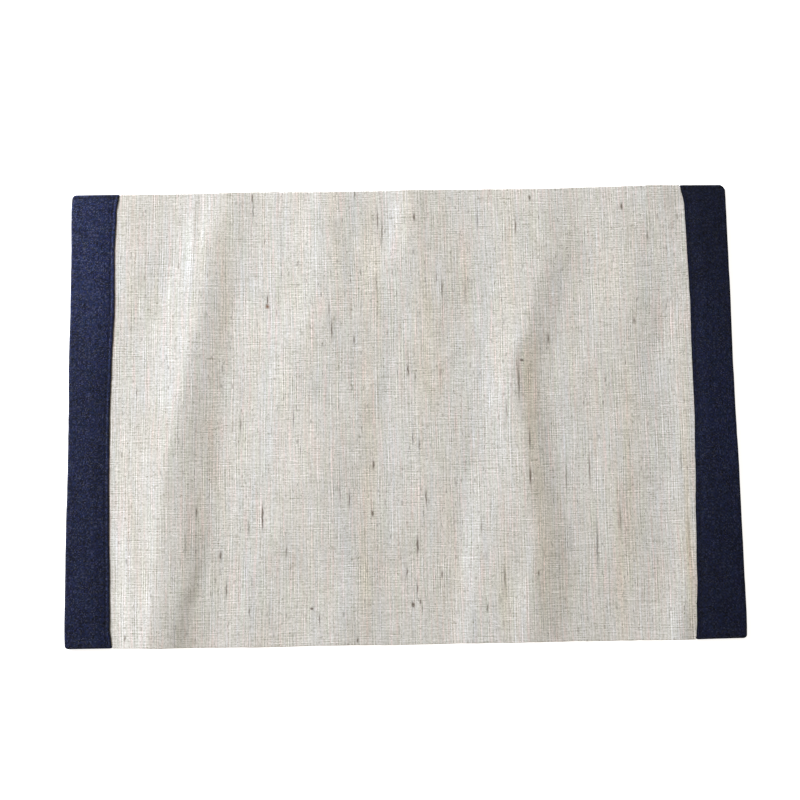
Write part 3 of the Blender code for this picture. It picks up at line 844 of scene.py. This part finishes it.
def build_panel(material):
    """The cream cloth: an upper and a lower surface on the folds, which meet in rounded hems."""
    x, y, from_hem = cloth_grid()
    half = CLOTH_THICK / 2 * np.sqrt(np.clip(1 - (1 - from_hem / HEM_RADIUS) ** 2, 0, 1))
    half[:, 0] = half[:, -1] = 0
    middle = cloth_underside(x, y) + CLOTH_THICK / 2
    inner = np.zeros(x.shape, bool)
    inner[1:-1, 1:-1] = True
    upper_number = np.arange(x.size).reshape(x.shape)
    lower_number = upper_number.copy()
    lower_number[inner] = x.size + np.arange(inner.sum())
    upper = np.stack([x, y, middle + half], -1).reshape(-1, 3)
    lower = np.stack([x, y, middle - half], -1)[inner]
    points = np.concatenate([upper, lower])
    faces = np.concatenate([grid_faces(upper_number, 1), grid_faces(lower_number, -1)])
    mesh = bpy.data.meshes.new("panel_cloth")
    mesh.from_pydata((points * MM).tolist(), [], faces.tolist())

    corners = points[corner_vertices(mesh)]
    is_upper = np.arange(len(corners)) < len(corners) // 2
    u = (corners[:, 0] + MAP_HALF_LENGTH) / (2 * MAP_HALF_LENGTH)
    v = (corners[:, 1] + MAP_HALF_WIDTH) / (2 * MAP_HALF_WIDTH)
    v = np.where(is_upper, UPPER_FACE[0] + UPPER_FACE[1] * v, LOWER_FACE[0] + LOWER_FACE[1] * v)
    add_uv(mesh, "OFBake", np.stack([MAP_ACROSS[0] + MAP_ACROSS[1] * u, v], -1))
    made = add_piece("cream_cloth", mesh, material)
    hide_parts("panel")
    return made


# -------------------- the bindings

HALF_LEAF = LEAF_THICK / 2
TURN_RADIUS = BAND_THICK / 2 - HALF_LEAF

# the sections of a binding: distances from its seam, shares of the way between, and distances from its end
SEAM_STEPS = (0.0, 0.25, 0.6, 1.0, 1.5, 2.0, 2.5, 3.0, 3.5, 4.0, 4.7, 5.6, 7.0)
MIDDLE_STEPS = 15
END_STEPS = (3.6, 2.7, 2.0, 1.3, 0.85, 0.45, 0.15, 0.0)
ROW_STEP = 1.0
ARC_STEPS = 6

# the topstitching's distances from the seam and the edges, and how it and the pressing shape the upper leaf
STITCH_FROM_SEAM = 2.9
STITCH_FROM_BACK = 2.6
STITCH_FROM_FRONT = 1.5
STITCH_DIP = 0.25
SEAM_DIP_REACH = 0.75
END_DIP_REACH = 0.6
PRESSED_TO = 2.0
PRESSED_EASE = 10.0
PRESSED_THINNER = 0.32
EDGE_THINNER = 0.22
LEAF_SWELL = 0.36
LEAST_LEAF = 0.3

# across the unfolded strip in mm: where its lower seam is, and how much of it the flat map holds
LOWER_SEAM = 80.0
STRIP_WIDTH = 82.0
STRIP_MAP = (0.005, 0.99)


def seam_at(side, y):
    """The slightly uneven line of a binding's seam."""
    return look_up(SHORT_ENDS, side.seam, y) + 0.12 * soft_noise(y, 0 * y, 3.1, 1, 31 + side.outward)


def end_at(side, y):
    """The slightly uneven line of a binding's folded end."""
    return look_up(SHORT_ENDS, side.end, y) + 0.10 * soft_noise(y, 0 * y, 6.0, 1, 41 + side.outward)


def from_seam(side, x, y):
    """How far a place is from a binding's seam, towards its folded end."""
    return (x - seam_at(side, y)) * side.outward


def leaf_section(side, x, y):
    """The bottom and top of a binding's upper leaf.

    It is pressed thin onto the cloth at its seam, drawn in at the topstitching and swollen between its seams,
    with small puckers across it.
    """
    d = from_seam(side, x, y)
    back = look_up(LONG_EDGES, "back", x) - y
    front = y - look_up(LONG_EDGES, "front", x)
    near_end = np.minimum(back, front)
    width = (end_at(side, y) - seam_at(side, y)) * side.outward
    pressed = fade(np.clip(d - PRESSED_TO, 0, None), PRESSED_EASE)
    bottom = BAND_THICK - LEAF_THICK - 0.9 * LAYER_GAP * pressed
    thick = LEAF_THICK - PRESSED_THINNER * pressed - EDGE_THINNER * np.exp(-(d / 0.5) ** 2)
    swell = LEAF_SWELL * np.sin(pi * np.clip(d / width, 0, 1)) * np.clip(near_end / 9, 0, 1)
    dip = np.exp(-((d - STITCH_FROM_SEAM) / SEAM_DIP_REACH) ** 2)
    dip += (np.exp(-((back - STITCH_FROM_BACK) / END_DIP_REACH) ** 2)
            + np.exp(-((front - STITCH_FROM_FRONT) / END_DIP_REACH) ** 2))
    near = np.exp(-np.clip(d - STITCH_FROM_SEAM, 0, None) / 5.0)
    pucker = 0.07 * near * soft_noise(y, d, 3.4, 40, 51 + side.outward)
    ripple = 0.07 * soft_noise(y + 0.35 * x, x, 4.6, 26, 53 + side.outward)
    ripple += 0.10 * soft_noise(y, x, 13, 24, 55)
    inside = np.clip(near_end / 4, 0, 1) * np.clip((width - d) / 6, 0, 1) * np.clip(d / 3, 0, 1)
    top = bottom + thick + swell * (1 - pressed) - STITCH_DIP * np.minimum(dip, 1) + pucker * np.clip(d, 0, 1)
    return bottom + 0.5 * swell * (1 - pressed), np.maximum(top + ripple * inside, bottom + LEAST_LEAF)


def corner_cut(radius, distance):
    """How much a rounded corner shortens a section that lies at a distance from the folded end."""
    return radius - (radius ** 2 - max(radius - distance, 0.0) ** 2) ** 0.5


def section_at(side, kind, amount, y):
    """Where a section of a binding runs, seen from above.

    The amount is a distance from its seam or from its folded end, or a share of the way between the two.
    """
    if kind == "seam":
        return seam_at(side, y) + side.outward * amount
    if kind == "end":
        return end_at(side, y) - side.outward * (HALF_LEAF + amount)
    start = section_at(side, "seam", SEAM_STEPS[-1], y)
    stop = section_at(side, "end", END_STEPS[0], y)
    return start + (stop - start) * amount


def band_ring(side, kind, amount):
    """One loop of a binding's middle surface: its points, and their places on the unfolded strip."""
    from_end = amount if kind == "end" else END_STEPS[0]
    halfway = float(section_at(side, kind, amount, np.array(0.0)))
    front = float(look_up(LONG_EDGES, "front", halfway)) + HALF_LEAF
    back = float(look_up(LONG_EDGES, "back", halfway)) - HALF_LEAF
    front += corner_cut(side.front_radius - HALF_LEAF, from_end)
    back -= corner_cut(side.back_radius - HALF_LEAF, from_end)
    half = (TURN_RADIUS ** 2 - max(TURN_RADIUS - from_end, 0.0) ** 2) ** 0.5
    ys = np.linspace(front + half, back - half, round(MAT_WIDTH / ROW_STEP) + 1)
    turn = np.arange(1, ARC_STEPS) * pi / ARC_STEPS
    middle = BAND_THICK / 2
    y = np.concatenate([ys, ys[-1] + half * np.sin(turn), ys[::-1], ys[0] - half * np.sin(turn)])
    z = np.concatenate([0 * ys + middle + half, middle + half * np.cos(turn),
                        0 * ys + middle - half, middle - half * np.cos(turn)])
    x = section_at(side, kind, amount, y)
    upper_share = np.clip((z - middle) / TURN_RADIUS, 0, 1)
    bottom, top = leaf_section(side, x, y)
    z = z + ((bottom + top) / 2 - (middle + TURN_RADIUS)) * upper_share
    across = from_seam(side, x, y)
    strip = np.where(z > middle, across, LOWER_SEAM - across)
    return np.stack([x, y, z], -1), np.stack([strip, y], -1)


def leaf_thickness(side, points):
    """How thick the binding is at points of its middle surface, as a share of a whole leaf."""
    x, y, z = points.T
    bottom, top = leaf_section(side, x, y)
    d = from_seam(side, x, y)
    upper = np.clip((z / BAND_THICK - 0.5) / 0.2, 0, 1)
    lower = np.where(z < BAND_THICK / 2, 0.5 * np.clip(1 - d / 1.5, 0, 1), 0)
    inner = np.clip((end_at(side, y) - x) * side.outward / 4 - 0.25, 0, 1)
    return np.clip(1 + ((top - bottom) / LEAF_THICK - 1) * upper * inner - lower, LEAST_LEAF, 1)


def thicken(made, shares):
    """Gives an object's surface a leaf's thickness, times the share of each point."""
    group = made.vertex_groups.new(name="thickness")
    for index, share in enumerate(shares.tolist()):
        group.add([index], share, "REPLACE")
    solidify = made.modifiers.new("leaf", "SOLIDIFY")
    solidify.thickness = LEAF_THICK * MM
    solidify.offset = 0.0
    solidify.vertex_group = group.name
    bpy.context.view_layer.update()
    solid = bpy.data.meshes.new_from_object(made.evaluated_get(bpy.context.evaluated_depsgraph_get()))
    made.modifiers.clear()
    made.data = solid


def build_band(side, material):
    """A navy binding: a folded strip, closed at its front and back, its upper leaf puckered by stitching."""
    sections = [("seam", step) for step in SEAM_STEPS]
    sections += [("middle", k / MIDDLE_STEPS) for k in range(1, MIDDLE_STEPS)]
    sections += [("end", step) for step in END_STEPS]
    rings = [band_ring(side, kind, amount) for kind, amount in sections]
    points = np.concatenate([ring for ring, _ in rings])
    strip = np.concatenate([places for _, places in rings])
    number = np.arange(len(points)).reshape(len(rings), -1)
    closed = np.concatenate([number, number[:, :1]], axis=1)
    mesh = bpy.data.meshes.new("band_" + side.name)
    mesh.from_pydata((points * MM).tolist(), [], grid_faces(closed, -side.outward).tolist())
    places = strip[corner_vertices(mesh)]
    add_uv(mesh, "Cloth", places / UV_UNIT)
    v = (places[:, 1] + MAP_HALF_WIDTH) / (2 * MAP_HALF_WIDTH)
    add_uv(mesh, "OFBake", STRIP_MAP[0] + STRIP_MAP[1] * np.stack([places[:, 0] / STRIP_WIDTH, v], -1))
    mend(mesh, lambda bm: bmesh.ops.remove_doubles(bm, verts=bm.verts, dist=0.005 * MM))
    made = add_piece("navy_binding_" + side.name, mesh, material)
    joined = np.empty(len(mesh.vertices) * 3)
    mesh.vertices.foreach_get("co", joined)
    thicken(made, leaf_thickness(side, joined.reshape(-1, 3) / MM))
    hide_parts("band_" + side.name)
    return made


# -------------------- the topstitching

STITCH_PITCH = 2.75
STITCH_LENGTH = 2.25
THREAD_RADIUS = 0.19
STITCH_SIDES = 6
STITCH_STRAY = 0.12

# the runs of stitches: their points' spacing, how clear they stay of each other, and where they start and end
RUN_STEP = 0.5
RUN_CLEARANCE = 0.6
RUN_REACH = 164.0
RUN_START = -163.6
RUN_FROM_SEAM = 1.2
RUN_FROM_END = 3.0

# the rings of a stitch: their place along its length, their width, and their rise above the binding's top
STITCH_RINGS = (
    (-0.50, 0.35, -0.22),
    (-0.42, 0.80, -0.04),
    (-0.20, 1.00, 0.06),
    (0.20, 1.00, 0.06),
    (0.42, 0.80, -0.04),
    (0.50, 0.35, -0.22),
)


def stitch_lines(side):
    """The runs of topstitching on a binding, as lists of points seen from above."""
    ys = np.arange(RUN_START, RUN_REACH, RUN_STEP)
    seam = [(float(seam_at(side, y)) + side.outward * STITCH_FROM_SEAM, y) for y in ys]
    front_limit = float(look_up(LONG_EDGES, "front", seam[0][0])) + STITCH_FROM_FRONT + RUN_CLEARANCE
    back_limit = float(look_up(LONG_EDGES, "back", seam[0][0])) - STITCH_FROM_BACK - RUN_CLEARANCE
    runs = [[point for point in seam if front_limit < point[1] < back_limit]]
    for column, outward, inset in (("back", 1, STITCH_FROM_BACK), ("front", -1, STITCH_FROM_FRONT)):
        start = float(seam_at(side, outward * RUN_REACH)) + side.outward * RUN_FROM_SEAM
        stop = float(end_at(side, outward * RUN_REACH)) - side.outward * RUN_FROM_END
        xs = np.arange(start, stop, side.outward * RUN_STEP)
        runs.append([(x, float(look_up(LONG_EDGES, column, x)) - outward * inset) for x in xs])
    return runs


def points_along(run, length, at):
    """The points of a run at distances from its start, where length is that of each of its own points."""
    return np.stack([np.interp(at, length, run[:, k]) for k in (0, 1)], -1)


def build_stitches(side, material):
    """Short rounded lengths of thread that lie in the dip of each run, their ends in the cloth."""
    rng = np.random.default_rng(77 + side.outward)
    share, width, rise = np.array(STITCH_RINGS).T
    turn = np.arange(STITCH_SIDES) * 2 * pi / STITCH_SIDES
    parts = []
    for run in stitch_lines(side):
        run = np.array(run, float)
        length = np.concatenate([[0], np.cumsum(np.hypot(*np.diff(run, axis=0).T))])
        centre = np.arange(STITCH_PITCH / 2, length[-1] - STITCH_PITCH / 2, STITCH_PITCH)[:, None]
        count = len(centre)
        centre = centre + rng.uniform(-STITCH_STRAY, STITCH_STRAY, (count, 1))
        at = centre + share * STITCH_LENGTH * rng.uniform(0.92, 1.06, (count, 1))
        spot = points_along(run, length, at)
        ahead = points_along(run, length, at + 0.2) - points_along(run, length, at - 0.2)
        ahead /= np.maximum(np.linalg.norm(ahead, axis=-1, keepdims=True), 1e-9)
        out = np.stack([-ahead[..., 1], ahead[..., 0]], -1)
        spot += out * (rng.uniform(-STITCH_STRAY, STITCH_STRAY, (count, 1)) * share)[..., None]
        top = leaf_section(side, spot[..., 0], spot[..., 1])[1] + rise
        shift = THREAD_RADIUS * width[:, None] * np.cos(turn)
        lift = THREAD_RADIUS * width[:, None] * np.sin(turn)
        flat = spot[:, :, None, :] + out[:, :, None, :] * shift[None, :, :, None]
        parts.append(np.concatenate([flat, (top[:, :, None] + lift)[..., None]], -1))
    points = np.concatenate(parts)
    number = np.arange(points[..., 0].size).reshape(points.shape[:3])
    after = np.roll(number, -1, axis=2)
    sides = np.stack([number[:, :-1], after[:, :-1], after[:, 1:], number[:, 1:]], -1).reshape(-1, 4)
    caps = np.concatenate([number[:, 0, ::-1], number[:, -1]])
    mesh = bpy.data.meshes.new("stitches_" + side.name)
    mesh.from_pydata((points.reshape(-1, 3) * MM).tolist(), [], sides.tolist() + caps.tolist())
    mend(mesh, lambda bm: bmesh.ops.recalc_face_normals(bm, faces=bm.faces))
    made = add_piece("topstitching_" + side.name, mesh, material)
    return made


# -------------------- stage, light and camera, in metres

FLOOR_HALF = 4.0
FLOOR_DROP = 0.0001
FLOOR_GLOW = 0.8
SKY_COLOUR = (1.12, 1.0, 0.84, 1)
SKY_STRENGTH = 0.27
KEY_PLACE = (-2.16, 1.46, 1.25)
KEY_SIZE = 1.15
KEY_POWER = 134.3
KEY_COLOUR = (0.97, 1.0, 1.058)
CAMERA_ELEVATION = 83.806
CAMERA_ROLL = 0.9536
CAMERA_DISTANCE = 0.77169
CAMERA_AIM = (-0.00126, 0.00867, 0.0)
FOCAL_PIXELS = 1061.72
FRAME_PIXELS = 800
SENSOR_MM = 36.0


def build_stage():
    """The pale floor, just under the mat."""
    mesh = bpy.data.meshes.new("floor")
    corners = ((-1, -1), (1, -1), (1, 1), (-1, 1))
    mesh.from_pydata([(FLOOR_HALF * x, FLOOR_HALF * y, 0) for x, y in corners], [], [(0, 1, 2, 3)])
    floor = add_object("floor", mesh)
    floor.location.z = -FLOOR_DROP
    n = Nodes("pale_floor")
    clouds = n.drift(*n.plane(), 0.004, 0.004, 0.0)
    colour = n.blend(clouds, (0.93, 0.93, 0.93, 1), (0.95, 0.95, 0.95, 1))
    n.finish(colour, 0.9, Specular_IOR_Level=0.0)
    n.shader.inputs["Emission Color"].default_value = (1, 1, 1, 1)
    n.shader.inputs["Emission Strength"].default_value = FLOOR_GLOW
    mesh.materials.append(n.material)
    return floor


def build_light():
    """A warm even sky, and one soft lamp from the left and behind."""
    world = bpy.data.worlds.new("studio")
    world.use_nodes = True
    sky = world.node_tree.nodes["Background"]
    sky.inputs["Color"].default_value = SKY_COLOUR
    sky.inputs["Strength"].default_value = SKY_STRENGTH
    bpy.context.scene.world = world
    light = bpy.data.lights.new("key_from_left", "AREA")
    light.shape = "DISK"
    light.size = KEY_SIZE
    light.energy = KEY_POWER
    light.color = KEY_COLOUR
    lamp = add_object("key_from_left", light)
    lamp.location = KEY_PLACE
    lamp.rotation_euler = (-Vector(KEY_PLACE)).to_track_quat("-Z", "Y").to_euler()
    bpy.context.scene.view_settings.view_transform = "Standard"
    bpy.context.scene.view_settings.look = "None"


def build_camera():
    """The photograph's view: almost straight down, a little from the front, with a slight roll."""
    elevation, roll = radians(CAMERA_ELEVATION), radians(CAMERA_ROLL)
    forward = Vector((0, cos(elevation), -sin(elevation)))
    right = Vector((1, 0, 0))
    up = right.cross(forward)
    camera_right = right * cos(roll) - up * sin(roll)
    camera_up = right * sin(roll) + up * cos(roll)
    place = Vector(CAMERA_AIM) - forward * CAMERA_DISTANCE
    data = bpy.data.cameras.new("camera")
    data.sensor_width = SENSOR_MM
    data.lens = FOCAL_PIXELS * SENSOR_MM / FRAME_PIXELS
    camera = add_object("camera", data)
    turned = Matrix((camera_right, camera_up, -forward)).transposed().to_4x4()
    camera.matrix_world = Matrix.Translation(place) @ turned
    bpy.context.scene.camera = camera


floor = build_stage()
panel = build_panel(slub_weave("cream_slub_weave"))
thread = sewing_thread("navy_thread")
for side in (LEFT, RIGHT):
    band = build_band(side, navy_twill("navy_twill_" + side.name, NAVY[side.name]))
    stitches = build_stitches(side, thread)
build_light()
build_camera()
